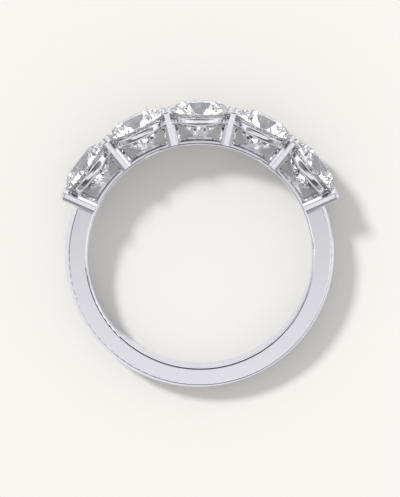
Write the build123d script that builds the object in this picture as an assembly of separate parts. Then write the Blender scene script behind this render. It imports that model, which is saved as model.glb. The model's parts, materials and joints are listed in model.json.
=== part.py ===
"""A five stone ring that lies on its side.

One cast metal piece, a plain band that carries five heads, and five round brilliant stones.
The ring is drawn flat first: the finger hole's axis is Z, the middle stone points along +Y, and the
heads follow one another round Z. It is then tipped about X, because the heads are wider than the
band and the ring leans on the seats of its outer stones. Lengths are in millimetres.
"""

from build123d import *
from math import atan, cos, degrees, radians, sin, sqrt, tan
import os

# The band
bore_radius = 8.25  # finger hole
band_width = 2.0  # along the finger
side_height = 1.41  # flat side of the band, from the hole to the outer crease, at half way round
dome_height = 0.33  # how far the outside swells above that crease
crest_shift = 0.05  # the outside's centre lies this far towards the stones, so the band is thinner below
bore_edge = 0.22  # rounding of the finger hole's two edges
crease_round = 0.15  # rounding of the two outer creases

# The base under each head, a strip of the band with a cushion on top and a hole for the stone's point
strip_height = 0.21
cushion_lift = 0.65  # from the finger hole to the top of the cushion
cushion_bend = 3.1  # radius of the cushion's arch, from post to post
cushion_bevel_lift = 0.39  # from the finger hole to where the cushion's front and back begin to slope
cushion_bevel = 38  # degrees that this slope has against the band's side
cushion_bevel_round = 0.15
point_hole_radius = 0.5

# The stones
stone_count = 5
stone_diameter = 4.7
stone_gap = 0.15  # between the girdles of two neighbours
culet_lift = 0.216  # from the finger hole to the stone's point
seat_gap = 0.02  # between a stone and the metal that holds it

# The cut of a round brilliant, as shares of its diameter
table_share = 0.53
crown_share = 0.162
girdle_share = 0.04
pavilion_share = 0.415
star_share = 0.5  # of the way from the table to the girdle
lower_half_share = 0.78  # of the way from the girdle to the point
facet_count = 8

# The ring of metal that each stone sits in, measured from the lower edge of its girdle
seat_top_drop = 0.07
seat_height = 0.62
seat_stand_out = 0.02  # how far the seat ring stands out past the girdle
seat_draft = 6  # degrees by which its outside leans in towards its foot
seat_top_round = 0.17
seat_foot_round = 0.27
seat_inside_wall = 0.45  # thickness of the seat ring
seat_dip = 0.14  # its lower edge hangs this much lower in the middle than at the posts

# The posts between the stones, in pairs at the front and at the back
post_stand_out = 0.72  # past the side of the band, at the top of a post
post_foot_stand_out = 0.42
post_flat_width = 0.34
post_ridge_width = 0.8
post_bevel_depth = 0.18
post_flank_width = 1.14
post_flank_depth = 0.5  # from the bevel's foot to where the flanks are widest
post_edge = 0.07  # rounding of the bevel's two edges
post_top_round = 0.14  # rounding of the front's top
post_back_drop = 0.1  # from the top of the post to where its back begins to slope down
post_back_slope = 40
post_root_depth = 0.45  # how far a post reaches in under the head, from the side of the band
post_foot_lift = 0.16  # from the finger hole to the lower end of a post
post_top_lift = 0.59  # from the lower edge of the girdle to the top of the post

# The two claws on each post
claw_radius = 0.12
bead_radius = 0.165
claw_spread = 0.22  # from the post's middle to the middle of a claw's bead
claw_root_spread = 0.14
claw_reach = 0.9  # from the post's front to the middle of the bead
claw_lift = 0.45  # from the upper edge of the girdle to the middle of the bead
end_claw_drop = 0.08  # how much lower the beads lie on the two end posts
claw_root_depth = 0.25
claw_root_drop = 0.3

# Places worked out from the sizes
stone_radius = stone_diameter / 2
half_width = band_width / 2
culet_height = bore_radius + culet_lift
girdle_low = culet_height + pavilion_share * stone_diameter
girdle_high = girdle_low + girdle_share * stone_diameter
girdle_middle = (girdle_low + girdle_high) / 2
table_height = girdle_high + crown_share * stone_diameter
half_pitch = degrees(atan((stone_radius + stone_gap / 2) / girdle_middle))
head_span = stone_count * half_pitch
cushion_top = bore_radius + cushion_lift
post_front = half_width + post_stand_out
post_foot = bore_radius + post_foot_lift
post_top = girdle_low + post_top_lift
post_lean = degrees(atan((post_stand_out - post_foot_stand_out) / (post_top - post_foot)))
crease_radius = bore_radius + side_height
well_outside = 2 * table_height
well_clear = 3 * post_front

stone_angles = [2 * half_pitch * (n - (stone_count - 1) / 2) for n in range(stone_count)]
post_angles = [2 * half_pitch * (n - stone_count / 2) for n in range(stone_count + 1)]
stone_names = [
    "stone_left_outer",
    "stone_left_inner",
    "stone_centre",
    "stone_right_inner",
    "stone_right_outer",
]

# The ring leans on the widest part of its outer seat rings and on the lower crease of its band
seat_radius = stone_radius + seat_stand_out
seat_widest = girdle_low - seat_top_drop - seat_top_round
lean_height = seat_widest * cos(radians(stone_angles[-1]))
lean_foot = crease_radius - crest_shift
rest_angle = degrees(atan((seat_radius - half_width) / (lean_height + lean_foot)))


def turned(part, angle):
    """The part carried round the finger hole, clockwise as seen from the front."""
    return part.rotate(Axis.Z, -angle)


def around(profile_points, start, span):
    """A closed profile of lines and arcs in radius and depth, swept round the finger hole."""
    edges = []
    for kind, *points in profile_points:
        places = [Vector(radius, 0, depth) for radius, depth in points]
        edges.append(Line(*places) if kind == "line" else ThreePointArc(*places))
    face = make_face(edges)
    return revolve(face, Axis.Z, span).rotate(Axis.Z, start)


def corner_middle(centre, radius, radius_sign, depth_sign):
    """The middle point of a quarter round about a centre."""
    reach = radius * sin(radians(45))
    return (centre[0] + radius_sign * reach, centre[1] + depth_sign * reach)


def outer_disc():
    """The band's outside as a full disc: flat sides, rounded creases and a domed rim."""
    low, high = (crease_radius, 0, -half_width), (crease_radius, 0, half_width)
    foot, head = (0, 0, -half_width), (0, 0, half_width)
    dome = ThreePointArc(low, (crease_radius + dome_height, 0, 0), high)
    profile = make_face([Line(foot, low), dome, Line(high, head), Line(head, foot)])
    creases = [corner for corner in profile.vertices() if corner.X > bore_radius]
    disc = revolve(fillet(creases, crease_round), Axis.Z, 360)
    return disc.moved(Location((0, crest_shift, 0)))


def finger_hole():
    """What the finger takes up: a cylinder that opens out along two rounded edges."""
    wide = bore_radius + bore_edge
    low = half_width - bore_edge
    middle = corner_middle((wide, low), bore_edge, -1, 1)
    profile = [
        ("line", (0, -well_clear), (wide, -well_clear)),
        ("line", (wide, -well_clear), (wide, -half_width)),
        ("arc", (wide, -half_width), (middle[0], -middle[1]), (bore_radius, -low)),
        ("line", (bore_radius, -low), (bore_radius, low)),
        ("arc", (bore_radius, low), middle, (wide, half_width)),
        ("line", (wide, half_width), (wide, well_clear)),
        ("line", (wide, well_clear), (0, well_clear)),
        ("line", (0, well_clear), (0, -well_clear)),
    ]
    return around(profile, 0, 360)


def room_for_heads():
    """What is taken off the disc between the two end posts."""
    low = bore_radius / 2
    profile = [
        ("line", (low, -well_clear), (well_outside, -well_clear)),
        ("line", (well_outside, -well_clear), (well_outside, well_clear)),
        ("line", (well_outside, well_clear), (low, well_clear)),
        ("line", (low, well_clear), (low, -well_clear)),
    ]
    return around(profile, 90 - head_span, 2 * head_span)


def point_hole():
    """The hole through the base below the middle stone's point."""
    return Cylinder(point_hole_radius, 2 * cushion_top).rotate(Axis.X, 90).rotate(Axis.Y, 90)


def sloped_rim():
    """A stretch of band whose front and back slope in towards its outside."""
    foot = bore_radius + strip_height / 2
    bevel_foot = bore_radius + cushion_bevel_lift
    peak = bevel_foot + half_width / tan(radians(cushion_bevel))
    section = make_face(
        [
            Line((foot, 0, -half_width), (bevel_foot, 0, -half_width)),
            Line((bevel_foot, 0, -half_width), (peak, 0, 0)),
            Line((peak, 0, 0), (bevel_foot, 0, half_width)),
            Line((bevel_foot, 0, half_width), (foot, 0, half_width)),
            Line((foot, 0, half_width), (foot, 0, -half_width)),
        ]
    )
    corners = section.vertices().sort_by(Axis.X)[2:4]
    rim = revolve(fillet(corners, cushion_bevel_round), Axis.Z, 2 * half_pitch)
    return rim.rotate(Axis.Z, 90 - half_pitch)


def base():
    """The strip and the cushion under the middle stone with the hole through both, still filled below."""
    foot = bore_radius / 2
    strip_top = bore_radius + strip_height
    strip = around(
        [
            ("line", (foot, -half_width), (strip_top, -half_width)),
            ("line", (strip_top, -half_width), (strip_top, half_width)),
            ("line", (strip_top, half_width), (foot, half_width)),
            ("line", (foot, half_width), (foot, -half_width)),
        ],
        90 - half_pitch,
        2 * half_pitch,
    )
    barrel = Cylinder(cushion_bend, 2 * band_width).moved(Location((0, cushion_top - cushion_bend, 0)))
    hole = point_hole()
    return (strip - hole) + ((sloped_rim() & barrel) - hole)


def band():
    """The band and the bases that carry it on under the heads."""
    metal = outer_disc() - room_for_heads()
    piece = base()
    return metal.fuse(*[turned(piece, angle) for angle in stone_angles]) - finger_hole()


def seat_ring():
    """The ring under the middle stone, with a rounded outside and a lower edge that sags a little."""
    top = girdle_low - seat_top_drop
    foot = top - seat_height
    inside = seat_radius - seat_inside_wall
    lower = seat_radius - seat_height * tan(radians(seat_draft))
    face = make_face(Polyline((inside, top), (seat_radius, top), (lower, foot), (inside, foot), close=True))
    face = fillet(face.vertices().sort_by(Axis.X)[-1], seat_top_round)
    face = fillet(face.vertices().group_by(Axis.Y)[0].sort_by(Axis.X)[-1], seat_foot_round)
    ring = revolve(face, Axis.Y, 360)
    edge = foot + seat_dip
    below = foot - stone_radius
    room = make_face(
        [
            ThreePointArc((-stone_radius, edge), (0, foot), (stone_radius, edge)),
            Line((stone_radius, edge), (stone_radius, below)),
            Line((stone_radius, below), (-stone_radius, below)),
            Line((-stone_radius, below), (-stone_radius, edge)),
        ]
    )
    return ring - extrude(room, well_clear, both=True)


def post(bead_lift):
    """The front post that stands between two stones, with its top cut away behind its front edge."""
    half_flat = post_flat_width / 2
    half_ridge = post_ridge_width / 2
    half_flank = post_flank_width / 2
    shoulder = post_front - post_bevel_depth
    widest = shoulder - post_flank_depth
    back = half_width - post_root_depth
    outline = make_face(
        Polyline(
            (-half_flank, back),
            (half_flank, back),
            (half_flank, widest),
            (half_ridge, shoulder),
            (half_flat, post_front),
            (-half_flat, post_front),
            (-half_ridge, shoulder),
            (-half_flank, widest),
            close=True,
        )
    )
    edges = [corner for corner in outline.vertices() if corner.Y > shoulder - post_edge]
    section = Plane.XZ * fillet(edges, post_edge)
    column = extrude(section, -(post_top - post_foot)).moved(Location((0, post_foot, 0)))
    rim = [edge for edge in column.edges() if edge.center().Y > post_top - post_edge and edge.center().Z > shoulder]
    column = fillet(rim, post_top_round)
    slope = radians(post_back_slope)
    back_slope = Plane(origin=(0, post_top - post_back_drop, shoulder), z_dir=(0, cos(slope), -sin(slope)))
    column = split(column, bisect_by=back_slope, keep=Keep.BOTTOM)
    lean = Axis((0, post_top, post_front), (1, 0, 0))
    return column.rotate(lean, post_lean) + claw(-1, bead_lift) + claw(1, bead_lift)


def claw(side, bead_lift):
    """A slim finger of metal that leans back from a post and ends in a round bead over one stone."""
    root = Vector(
        side * claw_root_spread,
        girdle_low + post_top_lift - claw_root_drop,
        post_front - claw_root_depth,
    )
    bead = Vector(side * claw_spread, girdle_high + bead_lift, post_front - claw_reach)
    length = (bead - root).length
    neck = length - sqrt(bead_radius**2 - claw_radius**2)
    half_round = make_face(
        [
            Line((0, 0), (claw_radius, 0)),
            Line((claw_radius, 0), (claw_radius, neck)),
            ThreePointArc((claw_radius, neck), (bead_radius, length), (0, length + bead_radius)),
            Line((0, length + bead_radius), (0, 0)),
        ]
    )
    finger = revolve(half_round, Axis.Y, 360)
    along = Plane(origin=root, z_dir=(bead - root).normalized())
    return along * finger.rotate(Axis.X, 90)


def facet(corners, grow):
    """The plane of a facet through three corners, moved outwards by grow."""
    first, second, third = corners
    normal = (second - first).cross(third - first).normalized()
    middle = Vector(0, girdle_middle, 0)
    if normal.dot(first - middle) < 0:
        normal = -normal
    return Plane(origin=first + normal * grow, z_dir=normal)


def on_stone(radius, angle, height):
    """A point of the middle stone, by its distance from the axis, its turn and its height."""
    return Vector(radius * sin(radians(angle)), height, radius * cos(radians(angle)))


def facet_planes(grow):
    """Every plane of a round brilliant, with a side of the table towards the front."""
    step = 360 / facet_count
    table_radius = table_share * stone_diameter / 2
    table_middle = table_radius * cos(radians(step / 2))
    crown_slope = (table_height - girdle_high) / (stone_radius - table_radius)
    pavilion_slope = (girdle_low - culet_height) / stone_radius
    star_radius = table_middle + star_share * (stone_radius - table_middle)
    star_height = table_height - (star_radius * cos(radians(step / 2)) - table_radius) * crown_slope
    lower_radius = stone_radius * (1 - lower_half_share)
    lower_height = culet_height + lower_radius * cos(radians(step / 2)) * pavilion_slope
    planes = [Plane(origin=(0, table_height + grow, 0), z_dir=(0, 1, 0))]
    for n in range(facet_count):
        corner = step * (n + 0.5)
        before, after = corner - step / 2, corner + step / 2
        tip = on_stone(stone_radius, corner, girdle_high)
        root = on_stone(stone_radius, corner, girdle_low)
        shelf = on_stone(table_radius, corner, table_height)
        across = on_stone(1, corner + 90, 0) - on_stone(0, 0, 0)
        planes.append(facet((shelf, tip, shelf + across), grow))
        planes.append(facet((on_stone(0, 0, culet_height), root, root + across), grow))
        star = on_stone(star_radius, after, star_height)
        next_shelf = on_stone(table_radius, corner + step, table_height)
        planes.append(facet((shelf, next_shelf, star), grow))
        for middle in (before, after):
            star = on_stone(star_radius, middle, star_height)
            upper = on_stone(stone_radius, middle, girdle_high)
            planes.append(facet((star, upper, tip), grow))
            point = on_stone(lower_radius, middle, lower_height)
            lower = on_stone(stone_radius, middle, girdle_low)
            planes.append(facet((point, lower, root), grow))
    return planes


def brilliant(grow=0.0):
    """The middle stone, cut plane by plane from a round blank, or its seat when it is grown."""
    blank = Cylinder(stone_radius + grow, 2 * stone_diameter).rotate(Axis.X, 90)
    stone = blank.moved(Location((0, girdle_middle, 0)))
    for plane in facet_planes(grow):
        stone = split(stone, bisect_by=plane, keep=Keep.BOTTOM)
    return stone


def metal_piece():
    """The whole casting: band, bases, seat rings, posts and claws, cut to take the stones."""
    shared = post(claw_lift)
    outer = post(claw_lift - end_claw_drop)
    pieces = []
    for angle in post_angles:
        front = outer if angle in (post_angles[0], post_angles[-1]) else shared
        for side in (front, front.mirror(Plane.XY)):
            pieces.append(turned(side, angle))
    ring = seat_ring()
    pieces += [turned(ring, angle) for angle in stone_angles]
    metal = band().fuse(*pieces)
    seat = brilliant(seat_gap)
    return metal.cut(*[turned(seat, angle) for angle in stone_angles])


def at_rest(part):
    """The part tipped as the ring lies, leaning on its outer stones."""
    return part.rotate(Axis.X, rest_angle)


def write(name, part):
    """One piece to its own file."""
    export_step(at_rest(part), f"parts/{name}.step")


def main():
    os.makedirs("parts", exist_ok=True)
    write("band_with_prongs", metal_piece())
    stone = brilliant()
    for name, angle in zip(stone_names, stone_angles):
        write(name, turned(stone, angle))


main()
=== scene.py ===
"""Dresses a five stone ring that lies on its side on a pale floor.

The casting and its five round brilliants come from the frame and keep their shapes. This add-on gives
them their finish, and sets the floor, the studio that they mirror, the lamp and the camera round them.
"""

import json
from math import cos, radians, sin

import bpy
from bpy.props import FloatProperty, FloatVectorProperty, PointerProperty
from mathutils import Matrix, Vector


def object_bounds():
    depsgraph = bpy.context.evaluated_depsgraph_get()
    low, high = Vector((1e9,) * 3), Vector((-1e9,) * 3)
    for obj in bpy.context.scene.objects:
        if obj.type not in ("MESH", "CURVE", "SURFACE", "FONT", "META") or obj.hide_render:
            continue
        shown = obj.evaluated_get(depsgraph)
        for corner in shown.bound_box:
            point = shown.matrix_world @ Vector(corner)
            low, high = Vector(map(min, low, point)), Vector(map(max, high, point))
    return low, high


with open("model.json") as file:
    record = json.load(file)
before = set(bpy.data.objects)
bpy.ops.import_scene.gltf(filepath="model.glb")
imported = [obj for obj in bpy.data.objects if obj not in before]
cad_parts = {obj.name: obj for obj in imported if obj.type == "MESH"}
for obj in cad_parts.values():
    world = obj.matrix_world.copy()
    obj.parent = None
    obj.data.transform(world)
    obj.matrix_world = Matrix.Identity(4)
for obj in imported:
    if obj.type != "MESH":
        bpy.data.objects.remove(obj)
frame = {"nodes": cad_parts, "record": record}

bl_info = {
    "name": "Five Stone Ring",
    "version": (1, 0, 0),
    "blender": (4, 5, 0),
    "location": "View3D > Sidebar > Ring",
    "description": "Finishes a claw set ring and sets the studio round it",
    "category": "Object",
}

CASTING = "band_with_prongs"
STONES = [name for name in sorted(frame["nodes"]) if name.startswith("stone_")]
CAD_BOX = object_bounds()
RECORD_COLOURS = {m["slot"]: m["base_color"][:3] for m in frame["record"]["materials"]}
IMAGE_SIZE = (400, 497)
MILLIMETRE = 0.001

# Names of the two shared effects.
MOTTLE = "soft_mottle"
GIRDLE_MASK = "girdle_mask"

# Clouds of mottle in one metre, and the shares of a finish between which each mottle varies.
METAL_HAZE_SCALE = 900.0
METAL_HAZE_SHARES = (0.6, 1.4)
METAL_TINT_SCALE = 250.0
METAL_TINT_SHARES = (0.985, 1.0)
STONE_TINT_SCALE = 1200.0
STONE_TINT_SHARES = (0.99, 1.0)

# A face belongs to a stone's ground edge when its normal is so nearly square with the stone's axis that
# the cosine of the angle between them is below this, whatever its sign.
GIRDLE_COSINE = 0.2

# Edges in the room, in degrees, each from where a part of it begins to where it is full. A lean is from
# straight up towards the back, so it is negative in front. Sideways is from the ring's middle plane, and
# down is from straight up.
SCRIM_BACK_EDGE = (1, -18)
SCRIM_FRONT_EDGE = (-40, -32)
SCRIM_SIDE_EDGE = (62, 46)
GLOW_SIDE_EDGE = (12, 45)
GLOW_LOWER_EDGE = (74, 60)
WALL_UPPER_EDGE = (46, 56)
WALL_FOOT_EDGE = (66, 84)

# How much lower the wall begins at the sides than at the back, in degrees. In front it is twice as much.
WALL_DROP = 8

# Brightness of the parts of the room. The wall has one for the front, the sides and the back.
ROOM_LEVEL = 0.10
SCRIM_LEVEL = 0.79
GLOW_LEVEL = 0.25
WALL_LEVELS = (0.3, 0.8, 1.1)
WALL_FOOT_LOSS = 0.35
WALL_GAIN_TO_RIGHT = 0.15

# Spots in the stones' room: cells in one unit of direction, the distances from a spot's middle at which
# it begins to dim and is dark, as shares of a cell, and the brightness inside and between the spots.
SPOT_SCALE = 9.0
SPOT_EDGE = (0.35, 0.7)
SPOT_LEVELS = (3.7, 0.35)

# What the camera sees past the floor.
GROUND_COLOUR = (0.92, 0.90, 0.86)
WHITE = (1.0, 1.0, 1.0)

# The camera's sensor in millimetres, and the nearest and farthest that it sees in metres.
SENSOR_WIDTH = 36.0
NEAR_AND_FAR = (0.01, 20.0)

# How often light may turn inside a stone, and from metal to metal.
STONE_BOUNCES = 32
METAL_BOUNCES = 12

# Rays that find the roundness of an edge, and the least number to divide by.
EDGE_SAMPLES = 8
SMALLEST_DIVISOR = 0.001


class CastingSettings(bpy.types.PropertyGroup):
    """The finish of the metal."""

    colour: FloatVectorProperty(
        name="Colour",
        description="What the polished metal sends back when it is looked at straight on",
        subtype="COLOR",
        size=3,
        default=RECORD_COLOURS["polished_metal"],
    )
    roughness: FloatProperty(
        name="Roughness",
        description="Haze of the polish",
        subtype="FACTOR",
        default=0.05,
        min=0.0,
        max=1.0,
    )
    edge_radius: FloatProperty(
        name="Edge radius",
        description="How far polishing has rounded each edge",
        unit="LENGTH",
        default=0.00006,
        min=0.0,
    )


class StoneSettings(bpy.types.PropertyGroup):
    """The finish of the cut stones."""

    colour: FloatVectorProperty(
        name="Colour",
        description="Tint of the stones",
        subtype="COLOR",
        size=3,
        default=WHITE,
    )
    refraction: FloatProperty(
        name="Refractive index",
        description="How strongly the stones bend light",
        default=2.417,
        min=1.0,
        max=4.0,
    )
    girdle_roughness: FloatProperty(
        name="Girdle roughness",
        description="Haze of the ground edge round each stone",
        subtype="FACTOR",
        default=0.5,
        min=0.0,
        max=1.0,
    )


class StageSettings(bpy.types.PropertyGroup):
    """Floor, studio, lamp and camera."""

    floor_colour: FloatVectorProperty(
        name="Floor colour",
        description="Colour of the plain floor",
        subtype="COLOR",
        size=3,
        default=(0.84, 0.82, 0.785),
    )
    mirrored_floor_colour: FloatVectorProperty(
        name="Mirrored floor colour",
        description="Cooler colour that the floor has in the metal's mirror image",
        subtype="COLOR",
        size=3,
        default=(0.80, 0.81, 0.83),
    )
    refracted_floor_colour: FloatVectorProperty(
        name="Floor colour in the stones",
        description="Darker colour that the floor has through the stones",
        subtype="COLOR",
        size=3,
        default=(0.52, 0.525, 0.55),
    )
    floor_width: FloatProperty(
        name="Floor width",
        description="Width of the square floor",
        unit="LENGTH",
        default=4.0,
    )
    lamp_lean_x: FloatProperty(
        name="Lamp to the left",
        description="Sideways run of the lamp's light for each unit that it falls",
        default=0.76,
    )
    lamp_lean_y: FloatProperty(
        name="Lamp to the back",
        description="Forward run of the lamp's light for each unit that it falls",
        default=0.72,
    )
    lamp_angle: FloatProperty(
        name="Lamp's width",
        description="Angle that the lamp fills in the sky",
        subtype="ANGLE",
        default=radians(10.5),
    )
    lamp_strength: FloatProperty(
        name="Lamp strength",
        description="Brightness of the lamp",
        default=1.9,
    )
    studio_strength: FloatProperty(
        name="Studio strength",
        description="Brightness of the room that the metal mirrors and the stones look out to",
        default=1.0,
    )
    studio_colour: FloatVectorProperty(
        name="Studio colour",
        description="Faint violet cast of that room",
        subtype="COLOR",
        size=3,
        soft_max=1.1,
        default=(1.02, 1.01, 1.055),
    )
    fill_strength: FloatProperty(
        name="Fill strength",
        description="Brightness of the even light on the floor",
        default=0.70,
    )
    camera_distance: FloatProperty(
        name="Camera distance",
        description="From the finger hole's centre to the camera",
        unit="LENGTH",
        default=0.191,
    )
    camera_lean: FloatProperty(
        name="Camera lean",
        description="How far the view leans back from straight down",
        subtype="ANGLE",
        default=radians(2.96),
    )
    pixels_per_mm: FloatProperty(
        name="Scale",
        description="Pixels that one millimetre takes at the finger hole's centre",
        default=13.53,
    )
    hole_pixel: FloatVectorProperty(
        name="Hole's place",
        description="Pixel on which the finger hole's centre falls",
        size=2,
        default=(199.4, 254.3),
    )


def add(tree, kind, inputs=None, **settings):
    """A new node with its settings, and its inputs set by name or number."""
    made = tree.nodes.new(kind)
    for name, value in settings.items():
        setattr(made, name, value)
    for name, value in (inputs or {}).items():
        made.inputs[name].default_value = value
    return made


def join(tree, start, end):
    """A link from an output socket to an input socket."""
    tree.links.new(start, end)


def feed(tree, value, end):
    """Gives an input socket a plain number, or the output socket that the number comes from."""
    if isinstance(value, (int, float)):
        end.default_value = value
    else:
        join(tree, value, end)


def number(tree, operation, *terms):
    """What one maths node makes of one or two terms, each a socket or a plain number."""
    made = add(tree, "ShaderNodeMath", operation=operation)
    for slot, term in enumerate(terms):
        feed(tree, term, made.inputs[slot])
    return made.outputs[0]


def total(tree, first, *others):
    """All the terms added up."""
    for other in others:
        first = number(tree, "ADD", first, other)
    return first


def product(tree, first, *others):
    """All the terms multiplied."""
    for other in others:
        first = number(tree, "MULTIPLY", first, other)
    return first


def socket(group, name, direction, kind="NodeSocketFloat", default=None):
    """A named socket on a node group."""
    made = group.interface.new_socket(name=name, in_out=direction, socket_type=kind)
    if default is not None:
        made.default_value = default


def mottle_group():
    """Soft cloudy variation between two values, for a polish or a tint."""
    group = bpy.data.node_groups.new(MOTTLE, "ShaderNodeTree")
    socket(group, "Scale", "INPUT", default=100.0)
    socket(group, "Low", "INPUT", default=0.0)
    socket(group, "High", "INPUT", default=1.0)
    socket(group, "Value", "OUTPUT")
    start = add(group, "NodeGroupInput")
    end = add(group, "NodeGroupOutput")
    place = add(group, "ShaderNodeTexCoord")
    cloud = add(group, "ShaderNodeTexNoise", {"Detail": 3.0, "Roughness": 0.55})
    spread = add(group, "ShaderNodeMapRange", {"From Min": 0.3, "From Max": 0.7})
    join(group, place.outputs["Object"], cloud.inputs["Vector"])
    join(group, start.outputs["Scale"], cloud.inputs["Scale"])
    join(group, cloud.outputs["Fac"], spread.inputs["Value"])
    join(group, start.outputs["Low"], spread.inputs["To Min"])
    join(group, start.outputs["High"], spread.inputs["To Max"])
    join(group, spread.outputs["Result"], end.inputs["Value"])


def girdle_group():
    """One on the ground edge of a stone and nought on its facets, told apart by how they face its axis."""
    group = bpy.data.node_groups.new(GIRDLE_MASK, "ShaderNodeTree")
    socket(group, "Axis", "INPUT", "NodeSocketVector")
    socket(group, "Value", "OUTPUT")
    start = add(group, "NodeGroupInput")
    end = add(group, "NodeGroupOutput")
    place = add(group, "ShaderNodeTexCoord")
    along = add(group, "ShaderNodeVectorMath", operation="DOT_PRODUCT")
    join(group, place.outputs["Normal"], along.inputs[0])
    join(group, start.outputs["Axis"], along.inputs[1])
    cosine = number(group, "ABSOLUTE", along.outputs["Value"])
    join(group, number(group, "LESS_THAN", cosine, GIRDLE_COSINE), end.inputs["Value"])


def mottled(tree, scale, low, high):
    """The soft mottle between two values, placed in a material."""
    inputs = {"Scale": scale, "Low": low, "High": high}
    made = add(tree, "ShaderNodeGroup", inputs, node_tree=bpy.data.node_groups[MOTTLE])
    return made.outputs["Value"]


def tinted(tree, colour, shade):
    """A colour that is dimmed by a shade that varies over the surface."""
    inputs = {"Factor": 1.0, "A": (*colour, 1.0)}
    made = add(tree, "ShaderNodeMix", inputs, data_type="RGBA", blend_type="MULTIPLY")
    join(tree, shade, made.inputs["B"])
    return made.outputs["Result"]


def material_with(name, inputs):
    """A new material, its nodes, and its shader with the plain inputs set."""
    material = bpy.data.materials.new(name)
    material.use_nodes = True
    tree = material.node_tree
    tree.nodes.clear()
    shader = add(tree, "ShaderNodeBsdfPrincipled", inputs)
    output = add(tree, "ShaderNodeOutputMaterial")
    join(tree, shader.outputs["BSDF"], output.inputs["Surface"])
    return material, tree, shader


def polished_metal(settings):
    """Bright cast metal with a faintly uneven haze and tint, and softly rounded edges."""
    material, tree, shader = material_with("polished_white_metal", {"Metallic": 1.0})
    least, most = (settings.roughness * share for share in METAL_HAZE_SHARES)
    edge = add(tree, "ShaderNodeBevel", {"Radius": settings.edge_radius}, samples=EDGE_SAMPLES)
    shade = mottled(tree, METAL_TINT_SCALE, *METAL_TINT_SHARES)
    join(tree, tinted(tree, settings.colour, shade), shader.inputs["Base Color"])
    join(tree, mottled(tree, METAL_HAZE_SCALE, least, most), shader.inputs["Roughness"])
    join(tree, edge.outputs["Normal"], shader.inputs["Normal"])
    return material


def clear_stone(settings, axis):
    """A colourless stone that bends light strongly, with a finely ground edge."""
    clear = {"Roughness": 0.0, "IOR": settings.refraction, "Transmission Weight": 1.0}
    material, tree, shader = material_with("clear_cut_stone", clear)
    shade = mottled(tree, STONE_TINT_SCALE, *STONE_TINT_SHARES)
    edge = add(tree, "ShaderNodeGroup", {"Axis": axis}, node_tree=bpy.data.node_groups[GIRDLE_MASK])
    haze = product(tree, edge.outputs["Value"], settings.girdle_roughness)
    join(tree, haze, shader.inputs["Roughness"])
    join(tree, tinted(tree, settings.colour, shade), shader.inputs["Base Color"])
    return material


def floor_material(settings):
    """Matt pale paper, cooler where the metal mirrors it and darker where it shows through the stones."""
    material, tree, shader = material_with("pale_floor", {"Roughness": 1.0, "Specular IOR Level": 0.0})
    path = add(tree, "ShaderNodeLightPath")
    in_ring = add(tree, "ShaderNodeMix", data_type="RGBA")
    in_ring.inputs["A"].default_value = (*settings.mirrored_floor_colour, 1.0)
    in_ring.inputs["B"].default_value = (*settings.refracted_floor_colour, 1.0)
    join(tree, path.outputs["Is Transmission Ray"], in_ring.inputs["Factor"])
    paper = add(tree, "ShaderNodeMix", data_type="RGBA")
    paper.inputs["B"].default_value = (*settings.floor_colour, 1.0)
    join(tree, in_ring.outputs["Result"], paper.inputs["A"])
    join(tree, path.outputs["Is Camera Ray"], paper.inputs["Factor"])
    join(tree, paper.outputs["Result"], shader.inputs["Base Color"])
    return material


class RING_OT_polish_casting(bpy.types.Operator):
    """Gives the casting its polished finish"""

    bl_idname = "ring.polish_casting"
    bl_label = "Polish casting"

    def execute(self, context):
        casting = frame["nodes"][CASTING]
        casting.data.materials.clear()
        casting.data.materials.append(polished_metal(context.scene.ring_casting))
        return {"FINISHED"}


class RING_OT_finish_stones(bpy.types.Operator):
    """Gives the five stones their clear finish"""

    bl_idname = "ring.finish_stones"
    bl_label = "Finish stones"

    def execute(self, context):
        for name in STONES:
            stone = frame["nodes"][name]
            # The finger hole's centre is the origin, so a stone's axis runs from there through its middle.
            corners = [corner.co for corner in stone.data.vertices]
            axis = sum(corners, Vector()).normalized()
            stone.data.materials.clear()
            stone.data.materials.append(clear_stone(context.scene.ring_stones, axis))
        return {"FINISHED"}


def lay_floor(settings):
    """A square sheet of pale paper under the ring."""
    half = settings.floor_width / 2
    low = CAD_BOX[0].z
    corners = [(-half, -half, low), (half, -half, low), (half, half, low), (-half, half, low)]
    mesh = bpy.data.meshes.new("floor")
    mesh.from_pydata(corners, [], [(0, 1, 2, 3)])
    mesh.materials.append(floor_material(settings))
    floor = bpy.data.objects.new("floor", mesh)
    bpy.context.scene.collection.objects.link(floor)


def hang_lamp(settings):
    """One soft lamp from the upper left, which throws the shadow and isn't mirrored."""
    lamp = bpy.data.lights.new("key_lamp", "SUN")
    lamp.angle = settings.lamp_angle
    lamp.energy = settings.lamp_strength
    holder = bpy.data.objects.new("key_lamp", lamp)
    towards = Vector((-settings.lamp_lean_x, settings.lamp_lean_y, 1.0))
    holder.rotation_mode = "QUATERNION"
    holder.rotation_quaternion = towards.to_track_quat("Z", "Y")
    bpy.context.scene.collection.objects.link(holder)
    holder.visible_glossy = False


def fade(tree, angle, start, end):
    """Nought before the start angle and one past the end angle, in degrees, with a soft step between."""
    inputs = {"From Min": radians(start), "From Max": radians(end)}
    made = add(tree, "ShaderNodeMapRange", inputs, interpolation_type="SMOOTHSTEP")
    join(tree, angle, made.inputs["Value"])
    return made.outputs["Result"]


def wall_level(tree, back):
    """Brightness of the wall, from the front at minus one through the sides to the back at one."""
    ramp = add(tree, "ShaderNodeValToRGB")
    tones = ramp.color_ramp.elements
    tones.new(0.5)
    for tone, level in zip(tones, WALL_LEVELS):
        tone.color = (level, level, level, 1.0)
    join(tree, product(tree, total(tree, back, 1.0), 0.5), ramp.inputs["Fac"])
    return ramp.outputs["Color"]


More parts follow.
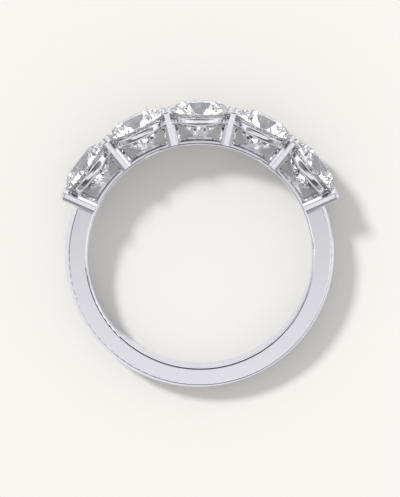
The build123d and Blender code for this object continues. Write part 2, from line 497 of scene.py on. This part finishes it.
def mirrored_room(tree):
    """Brightness of the room that the metal mirrors and the stones look out to, by direction.

    A long scrim hangs overhead, a little to the front. Behind it and in front of it the room is dark, and
    at both sides it has a faint glow. Low down the walls are bright at the back, less so at the sides and
    grey at the front, and a little brighter to the right.
    """
    place = add(tree, "ShaderNodeTexCoord")
    parts = add(tree, "ShaderNodeSeparateXYZ")
    join(tree, place.outputs["Generated"], parts.inputs["Vector"])
    x, y, z = parts.outputs
    lean = number(tree, "ARCTAN2", y, z)
    sideways = number(tree, "ARCSINE", number(tree, "ABSOLUTE", x))
    down = number(tree, "ARCCOSINE", z)
    flat = number(tree, "SQRT", number(tree, "SUBTRACT", 1.0, product(tree, z, z)))
    back = number(tree, "DIVIDE", y, number(tree, "MAXIMUM", flat, SMALLEST_DIVISOR))

    scrim = product(
        tree,
        fade(tree, lean, *SCRIM_BACK_EDGE),
        fade(tree, lean, *SCRIM_FRONT_EDGE),
        fade(tree, sideways, *SCRIM_SIDE_EDGE),
    )
    glow = product(tree, fade(tree, sideways, *GLOW_SIDE_EDGE), fade(tree, down, *GLOW_LOWER_EDGE))

    drop = product(tree, number(tree, "SUBTRACT", 1.0, back), radians(WALL_DROP))
    below = fade(tree, number(tree, "SUBTRACT", down, drop), *WALL_UPPER_EDGE)
    foot = product(tree, fade(tree, down, *WALL_FOOT_EDGE), WALL_FOOT_LOSS)
    wall = product(tree, below, number(tree, "SUBTRACT", 1.0, foot))
    uneven = total(tree, 1.0, product(tree, x, WALL_GAIN_TO_RIGHT))
    return total(
        tree,
        ROOM_LEVEL,
        product(tree, glow, GLOW_LEVEL),
        product(tree, scrim, SCRIM_LEVEL),
        product(tree, wall, wall_level(tree, back), uneven),
    )


def scattered_lamps(tree):
    """Round bright spots all over the room with darkness between them, which make the stones sparkle."""
    place = add(tree, "ShaderNodeTexCoord")
    cells = add(tree, "ShaderNodeTexVoronoi", {"Scale": SPOT_SCALE})
    dims, dark = SPOT_EDGE
    inside, between = SPOT_LEVELS
    inputs = {"From Min": dims, "From Max": dark, "To Min": inside, "To Max": between}
    spot = add(tree, "ShaderNodeMapRange", inputs)
    join(tree, place.outputs["Generated"], cells.inputs["Vector"])
    join(tree, cells.outputs["Distance"], spot.inputs["Value"])
    return spot.outputs["Result"]


def background(tree, colour, strength):
    """A background of one colour, whose strength is a plain number or a socket."""
    made = add(tree, "ShaderNodeBackground", {"Color": (*colour, 1.0)})
    feed(tree, strength, made.inputs["Strength"])
    return made.outputs["Background"]


def swapped(tree, ray, usual, other):
    """The usual background, swapped for the other one for one kind of ray."""
    made = add(tree, "ShaderNodeMixShader")
    join(tree, ray, made.inputs["Fac"])
    join(tree, usual, made.inputs[1])
    join(tree, other, made.inputs[2])
    return made.outputs["Shader"]


def build_studio(settings):
    """The room: what the metal mirrors, what the stones look out to, and what lights the floor.

    The camera sees a plain ground past the floor.
    """
    world = bpy.data.worlds.new("studio")
    bpy.context.scene.world = world
    world.use_nodes = True
    tree = world.node_tree
    tree.nodes.clear()
    room = product(tree, mirrored_room(tree), settings.studio_strength)
    mirrored = background(tree, settings.studio_colour, room)
    refracted = background(tree, settings.studio_colour, product(tree, room, scattered_lamps(tree)))
    even = background(tree, WHITE, settings.fill_strength)
    plain = background(tree, GROUND_COLOUR, 1.0)
    path = add(tree, "ShaderNodeLightPath")
    around = swapped(tree, path.outputs["Is Transmission Ray"], mirrored, refracted)
    around = swapped(tree, path.outputs["Is Diffuse Ray"], around, even)
    around = swapped(tree, path.outputs["Is Camera Ray"], around, plain)
    output = add(tree, "ShaderNodeOutputWorld")
    join(tree, around, output.inputs["Surface"])


def place_camera(settings):
    """A long lens almost straight above, where the finger hole falls on the same pixel as in the photo."""
    lean = settings.camera_lean
    back = Vector((0.0, sin(lean), cos(lean)))
    up = Vector((0.0, cos(lean), -sin(lean)))
    right = Vector((1.0, 0.0, 0.0))
    metres_per_pixel = MILLIMETRE / settings.pixels_per_mm
    across = (IMAGE_SIZE[0] - 1) / 2 - settings.hole_pixel[0]
    down = (IMAGE_SIZE[1] - 1) / 2 - settings.hole_pixel[1]
    camera = bpy.data.cameras.new("camera")
    camera.sensor_width = SENSOR_WIDTH
    camera.lens = settings.camera_distance / metres_per_pixel * camera.sensor_width / max(IMAGE_SIZE)
    camera.clip_start, camera.clip_end = NEAR_AND_FAR
    holder = bpy.data.objects.new("camera", camera)
    place = settings.camera_distance * back + metres_per_pixel * (across * right - down * up)
    turn = Matrix((right, up, back)).transposed().to_4x4()
    holder.matrix_world = Matrix.Translation(place) @ turn
    bpy.context.scene.collection.objects.link(holder)
    bpy.context.scene.camera = holder


class RING_OT_set_stage(bpy.types.Operator):
    """Lays the floor, hangs the lamp, builds the studio and places the camera"""

    bl_idname = "ring.set_stage"
    bl_label = "Set stage"

    def execute(self, context):
        settings = context.scene.ring_stage
        lay_floor(settings)
        hang_lamp(settings)
        build_studio(settings)
        place_camera(settings)
        context.scene.view_settings.view_transform = "Standard"
        context.scene.cycles.max_bounces = STONE_BOUNCES
        context.scene.cycles.transmission_bounces = STONE_BOUNCES
        context.scene.cycles.glossy_bounces = METAL_BOUNCES
        return {"FINISHED"}


class RING_PT_panel(bpy.types.Panel):
    """Shows the ring's settings and the operators that finish it and set its stage"""

    bl_label = "Five stone ring"
    bl_idname = "RING_PT_panel"
    bl_space_type = "VIEW_3D"
    bl_region_type = "UI"
    bl_category = "Ring"

    def draw(self, context):
        for settings in (context.scene.ring_casting, context.scene.ring_stones, context.scene.ring_stage):
            for name in settings.__annotations__:
                self.layout.prop(settings, name)
        for operator in (RING_OT_polish_casting, RING_OT_finish_stones, RING_OT_set_stage):
            self.layout.operator(operator.bl_idname)


CLASSES = (
    CastingSettings,
    StoneSettings,
    StageSettings,
    RING_OT_polish_casting,
    RING_OT_finish_stones,
    RING_OT_set_stage,
    RING_PT_panel,
)


def register():
    for kind in CLASSES:
        bpy.utils.register_class(kind)
    bpy.types.Scene.ring_casting = PointerProperty(type=CastingSettings)
    bpy.types.Scene.ring_stones = PointerProperty(type=StoneSettings)
    bpy.types.Scene.ring_stage = PointerProperty(type=StageSettings)


def unregister():
    del bpy.types.Scene.ring_stage
    del bpy.types.Scene.ring_stones
    del bpy.types.Scene.ring_casting
    for kind in reversed(CLASSES):
        bpy.utils.unregister_class(kind)


def main():
    register()
    mottle_group()
    girdle_group()
    bpy.ops.ring.polish_casting()
    bpy.ops.ring.finish_stones()
    bpy.ops.ring.set_stage()


if __name__ == "__main__":
    main()
